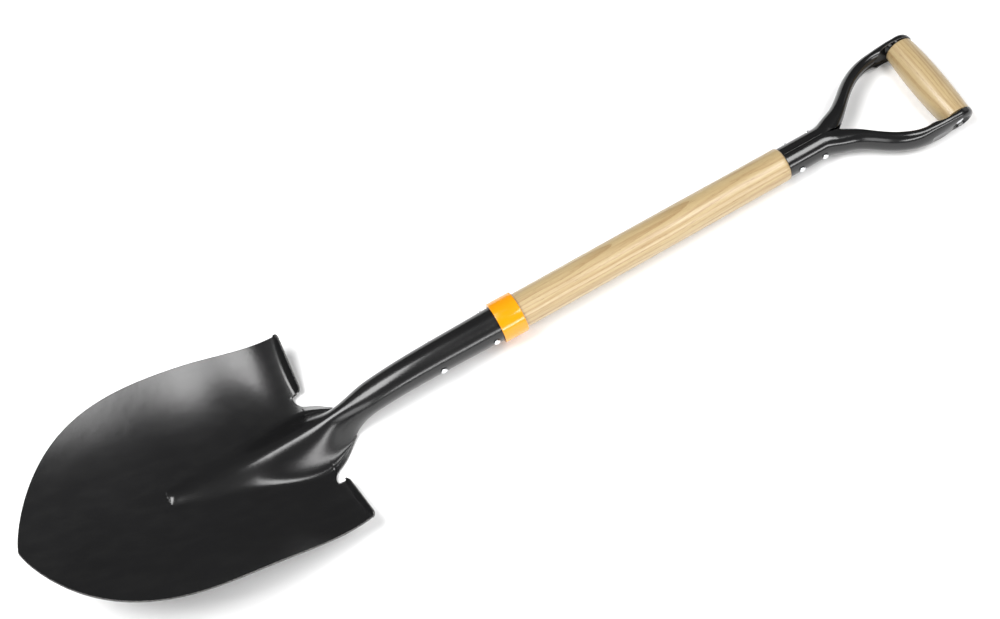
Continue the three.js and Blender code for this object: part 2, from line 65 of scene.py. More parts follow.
HEEL_X = -208.6
HEEL_HALF_WIDTH = 110.8
HEEL_SKEW = 0.1217
HEEL_LEAN_END_X = -174.0
TREAD_INNER_Y = 54.6
TREAD_EDGE_INNER = np.array([-196.7, 54.6, -23.6])
TREAD_EDGE_OUTER = np.array([-190.5, 110.8, -0.3])
TREAD_LEAN = np.array([5.8, 0.0, 6.2]) / math.hypot(5.8, 6.2)
TREAD_OUTER_CORNER = 6.0
TREAD_INNER_CORNER = 3.0
TREAD_USUAL_REACH = 8.0
FOLD_RADIUS = 3.0
FOLD_START_Y = 50.0
FOLD_RUN_IN = 6.0
SHORTEST_REACH = 0.4 * FOLD_RADIUS
SHORT_TREAD = 1.3 * FOLD_RADIUS
BLADE_LIP = 0.5

NECK_HALF_WIDTH = 46.0
NOTCH_DEPTH = 5.0
NOTCH_HALF_WIDTH = 8.6
FLARE_END_X = -192.0
FLARE_START_X = -138.0
SOCKET_MOUTH_X = 12.0
SOCKET_RADIUS = 17.7
SOCKET_TAPER = 0.0155
SEAM_HALF_GAP = 1.5
RIB_NOSE_X = -352.0
RIB_NOSE_ROUND = 8.0
RIB_NOSE_FULLNESS = 0.7
RIB_FULLNESS = 2.0

SHAFT_RADIUS = 17.9
SHAFT_TOP_RADIUS = 17.3
SHAFT_TAPER_X = 120.0
SHAFT_TAPER_LENGTH = 260.0
SHAFT_FOOT_X = -100.0
SHAFT_FOOT_RADIUS = 10.5
SHAFT_SHOULDER_ROUND = 3.0
SHAFT_SHOULDER_X = 327.8
TENON_RADIUS = 13.7
TENON_END_X = 371.0

COLLAR_LENGTH = 25.4
COLLAR_RADIUS = 21.1
COLLAR_BORE = 18.3
COLLAR_LOWER_ROUND = 0.6
COLLAR_UPPER_ROUND = 1.0

YOKE_SHEET = 1.6
YOKE_LIP = 0.3
YOKE_START_X = 328.2
FERRULE_RADIUS = 15.7
FERRULE_END_X = 372.0
ARM_END_X = 464.0
CUP_START_X = 478.0
GRIP_X = 498.5
CUP_RADIUS = 15.7
CUP_BASE_Y = 50.7
CUP_HEIGHT = 7.0
CUP_LEAN = 0.45
CUP_FLOOR_Y = 52.6
CUP_FLOOR_RADIUS = 6.5
CUP_RIM_RADIUS = 11.5
CUP_ROUNDING = 0.7

GRIP_HALF_LENGTH = 49.6
GRIP_END_RADIUS = 15.0
GRIP_MIDDLE_RADIUS = 17.1
GRIP_END_ROUND = 0.8
GRIP_BORE = 3.3

RIVET_ROD_RADIUS = 2.0
RIVET_HEAD_RADIUS = 3.4
RIVET_HEAD_HEIGHT = 2.3
RIVET_SEAT_GAP = 0.1
GRIP_RIVET_ROD_RADIUS = 3.0
GRIP_RIVET_HEAD_RADIUS = 5.0
GRIP_RIVET_HEAD_HEIGHT = 2.0
SOCKET_RIVETS = {"socket_rivet_lower": -66.7, "socket_rivet_upper": -8.5}
YOKE_RIVETS = {"yoke_rivet_lower": 340.0, "yoke_rivet_upper": 367.0}
GAP = 0.3
SHARP_ANGLE = math.radians(35)


# ---------------------------------------------------------------- the tool's frame


def centre(node):
    low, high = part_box(node)
    return (low + high) / 2


along = (centre("grip") - centre("collar")).normalized()
across = Vector((0, 1, 0))
facing = along.cross(across)
origin = centre("collar") - along * COLLAR_LENGTH / 2 * MM
TOOL = Matrix((along, across, facing)).transposed().to_4x4()
TOOL.translation = origin

# ---------------------------------------------------------------- curves


def smoothstep(t):
    t = np.clip(t, 0, 1)
    return t * t * (3 - 2 * t)


def lerp(a, b, t):
    return a + (b - a) * t


def steps(start, end, count):
    return np.linspace(start, end, count + 1)


def curve_through(points):
    """A smooth curve through the points; the slope at each comes from its two neighbours."""
    xs, ys = np.array(points, float).T
    slope = np.gradient(ys, xs)
    slope[1:-1] = (ys[2:] - ys[:-2]) / (xs[2:] - xs[:-2])

    def at(x):
        i = np.clip(np.searchsorted(xs, x, side="right") - 1, 0, len(xs) - 2)
        width = xs[i + 1] - xs[i]
        t = np.clip((x - xs[i]) / width, 0, 1)
        bend = slope[i] * (1 - t) - slope[i + 1] * t
        return lerp(ys[i], ys[i + 1], smoothstep(t)) + width * t * (1 - t) * bend

    return at


def spline_through(points):
    """A natural cubic spline: its curvature runs on smoothly, so that gloss does too."""
    xs, ys = np.array(points, float).T
    count = len(xs)
    h = np.diff(xs)
    system = np.eye(count)
    right = np.zeros(count)
    for i in range(1, count - 1):
        system[i, i - 1 : i + 2] = h[i - 1], 2 * (h[i - 1] + h[i]), h[i]
        right[i] = 6 * ((ys[i + 1] - ys[i]) / h[i] - (ys[i] - ys[i - 1]) / h[i - 1])
    second = np.linalg.solve(system, right)

    def at(x):
        x = np.clip(x, xs[0], xs[-1])
        i = np.clip(np.searchsorted(xs, x, side="right") - 1, 0, count - 2)
        a = (xs[i + 1] - x) / h[i]
        b = 1 - a
        bend = (a**3 - a) * second[i] + (b**3 - b) * second[i + 1]
        return a * ys[i] + b * ys[i + 1] + bend * h[i] ** 2 / 6

    return at


# ---------------------------------------------------------------- meshes


def weld(points, quads):
    """Merges points that lie on each other and drops faces that have no area."""
    keys = np.round(points, 3) + 0.0
    _, first, place = np.unique(keys, axis=0, return_index=True, return_inverse=True)
    place = place.reshape(-1)
    faces = []
    for quad in place[quads]:
        face = [v for i, v in enumerate(quad) if v != quad[i - 1]]
        if len(set(face)) >= 3:
            faces.append(face)
    return points[first], faces


def face_fans(faces):
    triangles = [(f[0], f[i], f[i + 1]) for f in faces for i in range(1, len(f) - 1)]
    return np.array(triangles)


def vertex_normals(points, faces):
    triangles = face_fans(faces)
    a, b, c = (points[triangles[:, i]] for i in range(3))
    flat = np.cross(b - a, c - a)
    normals = np.zeros_like(points)
    for i in range(3):
        np.add.at(normals, triangles[:, i], flat)
    return normals / np.linalg.norm(normals, axis=1, keepdims=True)


def open_edges(faces):
    edges = {(a, b) for f in faces for a, b in zip(f, f[1:] + f[:1])}
    return [(a, b) for a, b in sorted(edges) if (b, a) not in edges]


def thicken(points, faces, normals, thickness, lip, lip_steps=6):
    """Makes a sheet of a surface, with its material below, and rounds its edges outwards."""
    count = len(points)
    shell_points = [points, points - normals * thickness]
    shell_normals = [normals, -normals]
    shell_faces = [*faces, *[[v + count for v in reversed(f)] for f in faces]]

    rim = open_edges(faces)
    edge_out = np.zeros_like(points)
    for a, b in rim:
        travel = points[b] - points[a]
        for v in (a, b):
            edge_out[v] += np.cross(travel, normals[v])
    on_rim = sorted({v for edge in rim for v in edge})
    out = edge_out[on_rim]
    out = out / np.maximum(np.linalg.norm(out, axis=1, keepdims=True), 1e-9)
    up = normals[on_rim]
    rings = [{v: v for v in on_rim}]
    total = 2 * count
    for step in range(1, lip_steps):
        angle = math.pi * step / lip_steps
        drop = thickness * (1 - math.cos(angle)) / 2
        shell_points.append(points[on_rim] - up * drop + out * lip * math.sin(angle))
        slope = up * math.cos(angle) / (thickness / 2) + out * math.sin(angle) / lip
        shell_normals.append(slope / np.linalg.norm(slope, axis=1, keepdims=True))
        rings.append({v: total + i for i, v in enumerate(on_rim)})
        total += len(on_rim)
    rings.append({v: v + count for v in on_rim})
    for upper, lower in zip(rings, rings[1:]):
        for a, b in rim:
            shell_faces.append([upper[b], upper[a], lower[a], lower[b]])
    edge = np.arange(total) >= 2 * count
    return np.concatenate(shell_points), shell_faces, np.concatenate(shell_normals), edge


def lathe(profile, sides, axis):
    """Turns a closed profile of (radius, place) round the X or the Y axis."""
    angles = np.arange(sides) * 2 * math.pi / sides
    radius, place = np.array(profile, float).T
    ring = np.stack([np.cos(angles), np.sin(angles)], 1)
    points = np.zeros((len(profile), sides, 3))
    other = [1, 2] if axis == 0 else [2, 0]
    points[..., other] = radius[:, None, None] * ring[None]
    points[..., axis] = place[:, None]
    index = np.arange(len(profile) * sides).reshape(len(profile), sides)
    after = np.roll(index, -1, axis=1)
    last = len(profile) - 1
    quads = [
        [index[i, j], after[i, j], after[i + 1, j], index[i + 1, j]]
        for i in range(last)
        for j in range(sides)
    ]
    return weld(points.reshape(-1, 3), np.array(quads))


def add_piece(name, points, faces, material, slot, nodes, normals=None, edge=None):
    """Adds a piece, drawn in the tool's frame, to the scene in place of the CAD nodes."""
    turn = np.array(TOOL.to_3x3())
    placed = (points * MM) @ turn.T + np.array(TOOL.translation)
    mesh = bpy.data.meshes.new(name)
    mesh.from_pydata(placed.tolist(), [], faces)
    mesh.polygons.foreach_set("use_smooth", [True] * len(mesh.polygons))
    if normals is not None:
        mesh.normals_split_custom_set_from_vertices((normals @ turn.T).tolist())
        marks = mesh.attributes.new("edge", "FLOAT", "POINT")
        marks.data.foreach_set("value", edge.astype(np.float32))
    else:
        mesh.set_sharp_from_angle(angle=SHARP_ANGLE)
    mesh.materials.append(material)
    piece = bpy.data.objects.new(name, mesh)
    bpy.context.scene.collection.objects.link(piece)
    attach(piece, "root")
    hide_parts(*nodes)
    return piece


# ---------------------------------------------------------------- blade surface

pan_height = spline_through(
    [
        (BLADE_TIP_X, 64.4),
        (-433, 43.1),
        (-356, 14.2),
        (-274, -14),
        (HEEL_X, -36.5),
        (-184, -34.8),
        (-150, -32),
        (FLARE_START_X, -31.5),
    ]
)
crest_height = spline_through(
    [
        (RIB_NOSE_X, 15.6),
        (-335, 10.2),
        (-310, 2.2),
        (-273, -5),
        (-240, -5.5),
        (-210, -4.5),
        (-180, -0.5),
        (-150, 7.2),
        (-120, 13.1),
        (-80, 16.4),
        (-40, 17.1),
        (SOCKET_MOUTH_X, 17.9),
    ]
)
rib_half_width = spline_through(
    [
        (RIB_NOSE_X, 9.5),
        (-318, 17),
        (-280, 26),
        (-240, 35),
        (-214, 38),
        (-200, 35),
        (-184, 27.5),
        (-172, 25),
        (-150, 23.2),
        (FLARE_START_X, 22.8),
    ]
)
neck_half_width = curve_through(
    [
        (HEEL_X, NECK_HALF_WIDTH),
        (-203.7, 41),
        (-194, 35.6),
        (-184, 30),
        (-172, 26),
        (-150, 24),
        (FLARE_START_X, 23.5),
    ]
)


def pan_half_width(x):
    s = (x - BLADE_WIDEST_X) / (HEEL_X - BLADE_WIDEST_X)
    return BLADE_HALF_WIDTH + (HEEL_HALF_WIDTH - BLADE_HALF_WIDTH) * s * s


def bare_surface(x, y):
    share = (x - BLADE_TIP_X) / (HEEL_X - BLADE_TIP_X)
    return pan_height(x) + lerp(DISH_AT_TIP, DISH_AT_HEEL, share) * y * y


def blade_surface(x, y):
    across_rib = y / rib_half_width(x)
    before_nose = np.clip((RIB_NOSE_X + RIB_NOSE_ROUND - x) / RIB_NOSE_ROUND, 0, 1)
    nose = (1 - before_nose**2) ** RIB_NOSE_FULLNESS
    rise = np.maximum(crest_height(x) - pan_height(x), 0) * nose
    return bare_surface(x, y) + rise * np.maximum(1 - across_rib**2, 0) ** RIB_FULLNESS


def tread_line(y):
    """Where the flat strip's plane meets the dished pan, and the strip's width there."""
    share = (y - TREAD_INNER_Y) / (HEEL_HALF_WIDTH - TREAD_INNER_Y)
    edge = lerp(TREAD_EDGE_INNER, TREAD_EDGE_OUTER, share[:, None])
    reach = np.full_like(y, TREAD_USUAL_REACH)
    for _ in range(20):
        meets = bare_surface(edge[:, 0] - TREAD_LEAN[0] * reach, y)
        reach = (edge[:, 2] - meets) / TREAD_LEAN[2]
    return edge - TREAD_LEAN * reach[:, None], reach


def heel_x(y):
    across_notch = (y - (NECK_HALF_WIDTH + TREAD_INNER_Y) / 2) / NOTCH_HALF_WIDTH
    notch = NOTCH_DEPTH * np.maximum(1 - across_notch**2, 0)
    plain = HEEL_X + HEEL_SKEW * y - notch
    return np.where(y >= TREAD_INNER_Y - 1e-6, tread_line(y)[0][:, 0], plain)


def tread_reach(y):
    outer = np.maximum(y - (HEEL_HALF_WIDTH - TREAD_OUTER_CORNER), 0)
    inner = np.maximum(TREAD_INNER_Y + TREAD_INNER_CORNER - y, 0)
    outer_cut = TREAD_OUTER_CORNER - np.sqrt(TREAD_OUTER_CORNER**2 - outer**2)
    inner_cut = TREAD_INNER_CORNER - np.sqrt(np.maximum(TREAD_INNER_CORNER**2 - inner**2, 0))
    return tread_line(y)[1] - outer_cut - inner_cut


def pan_normals(x, y):
    """Upward normals of the pan and the rib, from the heights on either side of each point."""
    step = 0.3
    x = np.maximum(x, BLADE_TIP_X + step)
    slope_x = (blade_surface(x + step, y) - blade_surface(x - step, y)) / (2 * step)
    slope_y = (blade_surface(x, y + step) - blade_surface(x, y - step)) / (2 * step)
    normals = np.stack([-slope_x, -slope_y, np.ones_like(x)], -1)
    return normals / np.linalg.norm(normals, axis=1, keepdims=True)


def on_surface(x, y):
    return np.stack([x, y, blade_surface(x, y)], -1)


def pan_rows(heel_ys, fold_weight):
    """Rows of one half of the pan: down the straight side, then fanned round the point."""
    shares = heel_ys / HEEL_HALF_WIDTH
    skew = heel_x(heel_ys) - HEEL_X

    def straight(row_x):
        lean = (row_x - BLADE_WIDEST_X) / (HEEL_X - BLADE_WIDEST_X)
        x = row_x + skew * lean
        return on_surface(x, shares * pan_half_width(x))

    fold = straight(HEEL_X)
    below = straight(HEEL_X - FOLD_RADIUS)
    level = 2 * fold - below
    turned = fold + TREAD_LEAN * FOLD_RADIUS
    above = lerp(level, turned, fold_weight[:, None])

    def bent(t):
        return fold + (below - fold) * (1 - t) ** 2 + (above - fold) * t**2

    rows = [bent(t) for t in steps(0.5, 0, 4)]
    rows += [straight(x) for x in steps(HEEL_X - FOLD_RADIUS, BLADE_WIDEST_X, 60)[1:]]
    length = BLADE_WIDEST_X - BLADE_TIP_X
    for angle in steps(0, math.pi / 2, 110)[1:]:
        along_point = math.sin(angle)
        width = max(1 - along_point**POINT_POWER, 0) ** POINT_FULLNESS
        x = BLADE_WIDEST_X - shares * length * along_point
        rows.append(on_surface(x, shares * BLADE_HALF_WIDTH * width))
    return np.array(rows), bent


def neck_rows(heel_ys):
    shares = heel_ys / NECK_HALF_WIDTH
    skew = heel_x(heel_ys) - HEEL_X
    rows = []
    flare = steps(HEEL_X, FLARE_START_X, 44)
    tube = steps(FLARE_START_X, SOCKET_MOUTH_X, 54)[1:]
    for row_x in [*flare, *tube]:
        lean = max(1 - (row_x - HEEL_X) / (HEEL_LEAN_END_X - HEEL_X), 0)
        flatness = smoothstep((FLARE_START_X - row_x) / (FLARE_START_X - FLARE_END_X))
        x = row_x + skew * lean
        radius = SOCKET_RADIUS + SOCKET_TAPER * x
        angle = (math.pi - SEAM_HALF_GAP / radius) * shares
        tube_z = crest_height(x) - radius * (1 - np.cos(angle))
        flat_y = neck_half_width(x) * shares
        flat_z = blade_surface(x, flat_y)
        y = lerp(radius * np.sin(angle), flat_y, flatness)
        rows.append(np.stack([x, y, lerp(tube_z, flat_z, flatness)], -1))
    return np.array(rows)


def blade_mesh():
    neck_ys = NECK_HALF_WIDTH * steps(0, 1, 56)
    notch_ys = steps(NECK_HALF_WIDTH, TREAD_INNER_Y, 6)[1:-1]
    eased = (1 - np.cos(math.pi * steps(0, 1, 36))) / 2
    tread_ys = lerp(TREAD_INNER_Y, HEEL_HALF_WIDTH, eased)
    heel_ys = np.concatenate([neck_ys, notch_ys, tread_ys])
    fold_weight = smoothstep((heel_ys - FOLD_START_Y) / FOLD_RUN_IN)
    pan, bent = pan_rows(heel_ys, fold_weight)
    neck = neck_rows(neck_ys)
    neck[0] = pan[0][: len(neck_ys)]
    first_tread = len(heel_ys) - len(tread_ys)
    tread = [bent(t)[first_tread:] for t in steps(0.5, 1, 4)]
    fold, _ = tread_line(tread_ys)
    reach = tread_reach(tread_ys)
    tip = fold + TREAD_LEAN * np.maximum(reach, SHORTEST_REACH)[:, None]
    short = (reach < SHORT_TREAD)[:, None]
    shares = steps(0, 1, len(tread) - 1)
    tread = [np.where(short, lerp(tread[0], tip, t), row) for t, row in zip(shares, tread)]
    tread = np.array(tread + [lerp(tread[-1], tip, t) for t in steps(0, 1, 6)[1:]])

    points, quads = [], []
    total = 0
    for grid, towards_tip in [(pan, True), (neck, False), (tread, False)]:
        for side in (1, -1):
            rows, columns = grid.shape[:2]
            index = total + np.arange(rows * columns).reshape(rows, columns)
            points.append((grid * [1, side, 1]).reshape(-1, 3))
            total += rows * columns
            a, b = index[:-1, :-1], index[:-1, 1:]
            c, d = index[1:, 1:], index[1:, :-1]
            ring = [a, b, c, d] if towards_tip == (side > 0) else [a, d, c, b]
            quads.append(np.stack(ring, -1).reshape(-1, 4))
    welded, faces = weld(np.concatenate(points), np.concatenate(quads))
    normals = vertex_normals(welded, faces)
    smooth = welded[:, 0] < HEEL_X - NOTCH_DEPTH - 2 * FOLD_RADIUS
    normals[smooth] = pan_normals(*welded[smooth, :2].T)
    return thicken(welded, faces, normals, BLADE_SHEET, BLADE_LIP)


# ---------------------------------------------------------------- yoke surface

arm_y = spline_through(
    [
        (360, -0.6),
        (FERRULE_END_X, 0),
        (384, 6.5),
        (400, 16),
        (411, 24.6),
        (423, 34.8),
        (442, 46.6),
        (458, 51.3),
        (472, 51.8),
        (484, CUP_BASE_Y),
        (514, CUP_BASE_Y),
    ]
)
arm_half_width = curve_through(
    [
        (FERRULE_END_X, FERRULE_RADIUS),
        (386, 13),
        (400, 10.6),
        (423, 9.1),
        (446, 7.6),
        (466, 6.6),
        (484, CUP_HEIGHT),
    ]
)
arm_half_depth = curve_through(
    [
        (FERRULE_END_X, FERRULE_RADIUS),
        (392, 13),
        (414, 10.3),
        (450, 10.6),
        (480, CUP_RADIUS - 0.6),
        (GRIP_X, CUP_RADIUS),
    ]
)
arm_wrap = curve_through(
    [
        (FERRULE_END_X, 89),
        (384, 113),
        (392, 143),
        (402, 166),
        (ARM_END_X, 166),
        (CUP_START_X, 92),
        (514, 92),
    ]
)
arm_lean = curve_through([(384, 0), (400, 4), (412, 6.8), (440, 6.8), (458, 4), (CUP_START_X, 0)])
arm_squareness = curve_through([(ARM_END_X, 1), (486, 0.75)])


def cup_dish(x, z):
    radius = np.hypot(x - GRIP_X, z)
    part = smoothstep((radius - CUP_FLOOR_RADIUS) / (CUP_RIM_RADIUS - CUP_FLOOR_RADIUS))
    rim = CUP_BASE_Y + CUP_HEIGHT * (1 + CUP_LEAN * z / CUP_RADIUS)
    return lerp(CUP_FLOOR_Y, rim, part)


def yoke_row(x, shares):
    past = max(x - GRIP_X, 0)
    end_round = math.sqrt(max(1 - (past / CUP_RADIUS) ** 2, 0))
    angle = np.radians(arm_wrap(x)) * shares
    squareness = arm_squareness(x)
    out = np.sign(np.cos(angle)) * np.abs(np.cos(angle)) ** squareness
    front = np.sign(np.sin(angle)) * np.abs(np.sin(angle)) ** squareness
    lean = CUP_LEAN * smoothstep((x - ARM_END_X) / (GRIP_X - ARM_END_X))
    z = arm_half_depth(x) * end_round * front + arm_lean(x) * (1 - out) / 2
    reach = arm_half_width(x) * end_round**CUP_ROUNDING * out * (1 + lean * z / CUP_RADIUS)
    middle = arm_y(x) if x > FERRULE_END_X else 0
    y = middle + reach
    y = np.minimum(y, cup_dish(x, z)) if x > ARM_END_X else y
    return np.stack([np.full_like(shares, x), y, z], -1)


def yoke_mesh(side):
    shares = steps(-1, 1, 96)
    xs = [
        *steps(YOKE_START_X, FERRULE_END_X, 16)[:-1],
        *steps(FERRULE_END_X, ARM_END_X, 64)[:-1],
        *steps(ARM_END_X, GRIP_X, 26)[:-1],
        *(GRIP_X + CUP_RADIUS * np.sin(steps(0, math.pi / 2, 20))),
    ]
    grid = np.array([yoke_row(x, shares) for x in xs]) * [1, side, 1]
    rows, columns = grid.shape[:2]
    index = np.arange(rows * columns).reshape(rows, columns)
    a, b = index[:-1, :-1], index[:-1, 1:]
    c, d = index[1:, 1:], index[1:, :-1]
    ring = [a, b, c, d] if side > 0 else [a, d, c, b]
    welded, faces = weld(grid.reshape(-1, 3), np.stack(ring, -1).reshape(-1, 4))
    return thicken(welded, faces, vertex_normals(welded, faces), YOKE_SHEET, YOKE_LIP)


# ---------------------------------------------------------------- turned pieces


def arc(radius_from, radius_to, place_from, place_to, count, bulge_first):
    """Points of a quarter ellipse between two places of a profile."""
    points = []
    for t in steps(0, math.pi / 2, count):
        a, b = (math.sin(t), 1 - math.cos(t)) if bulge_first else (1 - math.cos(t), math.sin(t))
        points.append((lerp(radius_from, radius_to, a), lerp(place_from, place_to, b)))
    return points


def shaft_profile():
    in_socket = SOCKET_RADIUS - BLADE_SHEET - GAP
    shoulder = SHAFT_SHOULDER_X - SHAFT_SHOULDER_ROUND
    body = steps(SOCKET_MOUTH_X + GAP, shoulder, 60)
    taper = smoothstep((body - SHAFT_TAPER_X) / SHAFT_TAPER_LENGTH)
    return [
        (0, SHAFT_FOOT_X),
        (SHAFT_FOOT_RADIUS, SHAFT_FOOT_X),
        (12.3, SHAFT_FOOT_X + 5),
        (14.2, -60),
        (in_socket, SOCKET_MOUTH_X),
        (in_socket, SOCKET_MOUTH_X + GAP),
        *zip(lerp(SHAFT_RADIUS, SHAFT_TOP_RADIUS, taper), body),
        *arc(SHAFT_TOP_RADIUS, FERRULE_RADIUS - 1, shoulder, SHAFT_SHOULDER_X, 8, False)[1:],
        (TENON_RADIUS, SHAFT_SHOULDER_X),
        (TENON_RADIUS, TENON_END_X - 1),
        (TENON_RADIUS - 1, TENON_END_X),
        (0, TENON_END_X),
    ]


def collar_profile():
    lower = COLLAR_RADIUS - COLLAR_LOWER_ROUND
    upper = COLLAR_RADIUS - COLLAR_UPPER_ROUND
    top = COLLAR_LENGTH - COLLAR_UPPER_ROUND
    return [
        (COLLAR_BORE, 0),
        *arc(lower, COLLAR_RADIUS, 0, COLLAR_LOWER_ROUND, 4, True),
        *arc(COLLAR_RADIUS, upper, top, COLLAR_LENGTH, 6, False),
        (COLLAR_BORE, COLLAR_LENGTH),
        (COLLAR_BORE, 0),
    ]


def grip_profile():
    places = steps(-1, 1, 48)
    barrel = lerp(GRIP_END_RADIUS, GRIP_MIDDLE_RADIUS, 1 - places**2)
    end = GRIP_HALF_LENGTH - GRIP_END_ROUND
    face = GRIP_END_RADIUS - GRIP_END_ROUND
    return [
        (GRIP_BORE, -GRIP_HALF_LENGTH),
        *arc(face, GRIP_END_RADIUS, -GRIP_HALF_LENGTH, -end, 4, True)[:-1],
        *zip(barrel, places * end),
        *arc(GRIP_END_RADIUS, face, end, GRIP_HALF_LENGTH, 4, False)[1:],
        (GRIP_BORE, GRIP_HALF_LENGTH),
        (GRIP_BORE, -GRIP_HALF_LENGTH),
    ]


def rivet_profile(rod, head, height, under):
    """A rod with a domed head at each end."""
    crown = []
    for t in steps(0, math.pi / 2, 10):
        crown.append((head * math.cos(t), under + height * (0.3 + 0.7 * math.sin(t))))
    half = [(rod, under), (head * 0.94, under), *crown]
    return [*[(r, -y) for r, y in reversed(half)], *half]


# ---------------------------------------------------------------- materials


class Look:
    """A material whose nodes are added and wired by short calls. Lengths are in metres."""

    def __init__(self, name):
        self.material = bpy.data.materials.new(name)
        self.material.use_nodes = True
        self.tree = self.material.node_tree
        self.shader = self.tree.nodes["Principled BSDF"]
        self.place = self.tree.nodes.new("ShaderNodeTexCoord").outputs["Object"]

    def put(self, socket, value):
        if isinstance(value, bpy.types.NodeSocket):
            self.tree.links.new(value, socket)
        else:
            socket.default_value = value

    def node(self, kind, inputs=(), **settings):
        node = self.tree.nodes.new("ShaderNode" + kind)
        for key, value in settings.items():
            setattr(node, key, value)
        for key, value in dict(inputs).items():
            self.put(node.inputs[key], value)
        return node

    def shade(self, **values):
        for key, value in values.items():
            self.put(self.shader.inputs[key.replace("_", " ")], value)

    def vector(self, operation, place, other):
        return self.node("VectorMath", {0: place, 1: other}, operation=operation).outputs[0]

    def noise(self, size, place=None, detail=2.0, roughness=0.5, distortion=0.0):
        """Noise between 0 and 1 whose blotches are about the given size."""
        inputs = {
            "Vector": place or self.place,
            "Scale": 1 / size,
            "Detail": detail,
            "Roughness": roughness,
            "Distortion": distortion,
        }
        return self.node("TexNoise", inputs).outputs["Fac"]

    def remap(self, value, low, high, to_low=0.0, to_high=1.0):
        inputs = {"Value": value, "From Min": low, "From Max": high}
        inputs |= {"To Min": to_low, "To Max": to_high}
        return self.node("MapRange", inputs).outputs["Result"]

    def maths(self, operation, a, b):
        return self.node("Math", {0: a, 1: b}, operation=operation).outputs[0]

    def mix(self, share, a, b):
        node = self.node("Mix", {"Factor": share}, data_type="RGBA")
        self.put(node.inputs[6], a)
        self.put(node.inputs[7], b)
        return node.outputs[2]

    def bump(self, height, depth, strength=1.0, normal=None):
        """Lifts the surface by the height times the depth, where strength lets it."""
        inputs = {"Height": height, "Distance": depth, "Strength": strength}
        if normal is not None:
            inputs["Normal"] = normal
        return self.node("Bump", inputs).outputs["Normal"]

    def edges(self):
        """1 on the cut edges of a sheet and 0 on its faces."""
        return self.node("Attribute", attribute_name="edge").outputs["Fac"]


def rgb(red, green, blue):
    return (red, green, blue, 1.0)


def enamel(name, roughness, peel, rubbed):
    """Black stoving enamel: orange peel, hazier patches, faint smears and thin rubbed edges."""
    look = Look(name)
    patches = look.noise(0.055, detail=4.0, roughness=0.6)
    smears = look.noise(0.012, look.vector("MULTIPLY", look.place, (0.25, 1.0, 1.0)), detail=5.0)
    grit = look.noise(0.0011, detail=3.0)
    worn = look.maths("MULTIPLY", look.edges(), look.remap(grit, 0.4, 0.62))
    worn = look.maths("MULTIPLY", worn, rubbed)
    black = look.mix(patches, rgb(0.006, 0.006, 0.0063), rgb(0.0085, 0.0085, 0.0088))
    haze = look.remap(smears, 0.45, 0.85, 0.0, 0.4)
    black = look.mix(haze, black, rgb(0.014, 0.014, 0.0135))
    look.shade(Base_Color=look.mix(worn, black, rgb(0.16, 0.155, 0.15)))
    dull = look.remap(patches, 0.3, 0.75, roughness - 0.02, roughness + 0.02)
    dull = look.maths("ADD", dull, look.remap(smears, 0.4, 0.9, 0.0, 0.03))
    look.shade(Roughness=look.maths("ADD", dull, look.maths("MULTIPLY", worn, 0.15)))
    deep = look.remap(look.noise(0.07, detail=2.0), 0.42, 0.62, 0.35, 1.0)
    waves = look.bump(look.noise(0.009, detail=1.0), peel * 3, 0.5)
    skin = look.bump(look.noise(0.0021, detail=2.0, roughness=0.6), peel, deep, waves)
    look.shade(Normal=skin, Specular_IOR_Level=0.5)
    return look.material


def wood(name, along_axis, pith, tone):
    """Lacquered ash: growth rings cut lengthways, streaks, open pores and fine fibre."""
    look = Look(name)

    def fibre(length_share):
        squeeze = [1.0, 1.0, 1.0]
        squeeze[along_axis] = length_share
        return look.vector("MULTIPLY", look.place, tuple(squeeze))

    drift = look.noise(0.05, fibre(0.25), detail=2.0)
    wander = look.vector("MULTIPLY", (0.014, 0.014, 0.014), drift)
    from_pith = look.vector("SUBTRACT", look.vector("ADD", fibre(0.035), wander), pith)
    inputs = {"Vector": from_pith, "Scale": 0.314 / 0.0042, "Distortion": 1.6, "Detail": 3.0}
    inputs |= {"Detail Scale": 1.4, "Detail Roughness": 0.6}
    kinds = {"wave_type": "RINGS", "rings_direction": "XYZ"[along_axis], "wave_profile": "SAW"}
    rings = look.node("TexWave", inputs, **kinds).outputs["Fac"]
    early = look.remap(rings, 0.55, 1.0)
    streaks = look.noise(0.0035, fibre(0.03), detail=4.0, roughness=0.62, distortion=0.4)
    broad = look.noise(0.016, fibre(0.09), detail=2.0)
    pores = look.noise(0.00042, fibre(0.045), detail=1.0)
    fibres = look.noise(0.0002, fibre(0.02), detail=2.0)

    pale = look.mix(broad, tone["pale"], tone["warm"])
    grained = look.mix(look.remap(streaks, 0.46, 0.72, 0.0, 0.55), pale, tone["streak"])
    ringed = look.mix(look.maths("MULTIPLY", early, 0.5), grained, tone["streak"])
    open_rings = look.remap(early, 0.0, 1.0, 0.25, 0.8)
    pitted = look.maths("MULTIPLY", look.remap(pores, 0.6, 0.72), open_rings)
    colour = look.mix(pitted, ringed, tone["pore"])
    fine = look.remap(fibres, 0.35, 0.7, 0.0, 0.16)
    look.shade(Base_Color=look.mix(fine, colour, tone["streak"]))
    sheen = look.remap(streaks, 0.3, 0.7, 0.36, 0.46)
    look.shade(Roughness=look.maths("ADD", sheen, look.maths("MULTIPLY", pitted, 0.15)))
    hollows = look.bump(look.maths("SUBTRACT", 1.0, pitted), 0.00005, 0.7)
    ridges = look.bump(streaks, 0.00012, 0.5, hollows)
    look.shade(Normal=look.bump(fibres, 0.00001, 0.5, ridges))
    look.shade(Specular_IOR_Level=0.5, Coat_Weight=0.3, Coat_Roughness=0.22)
    return look.material


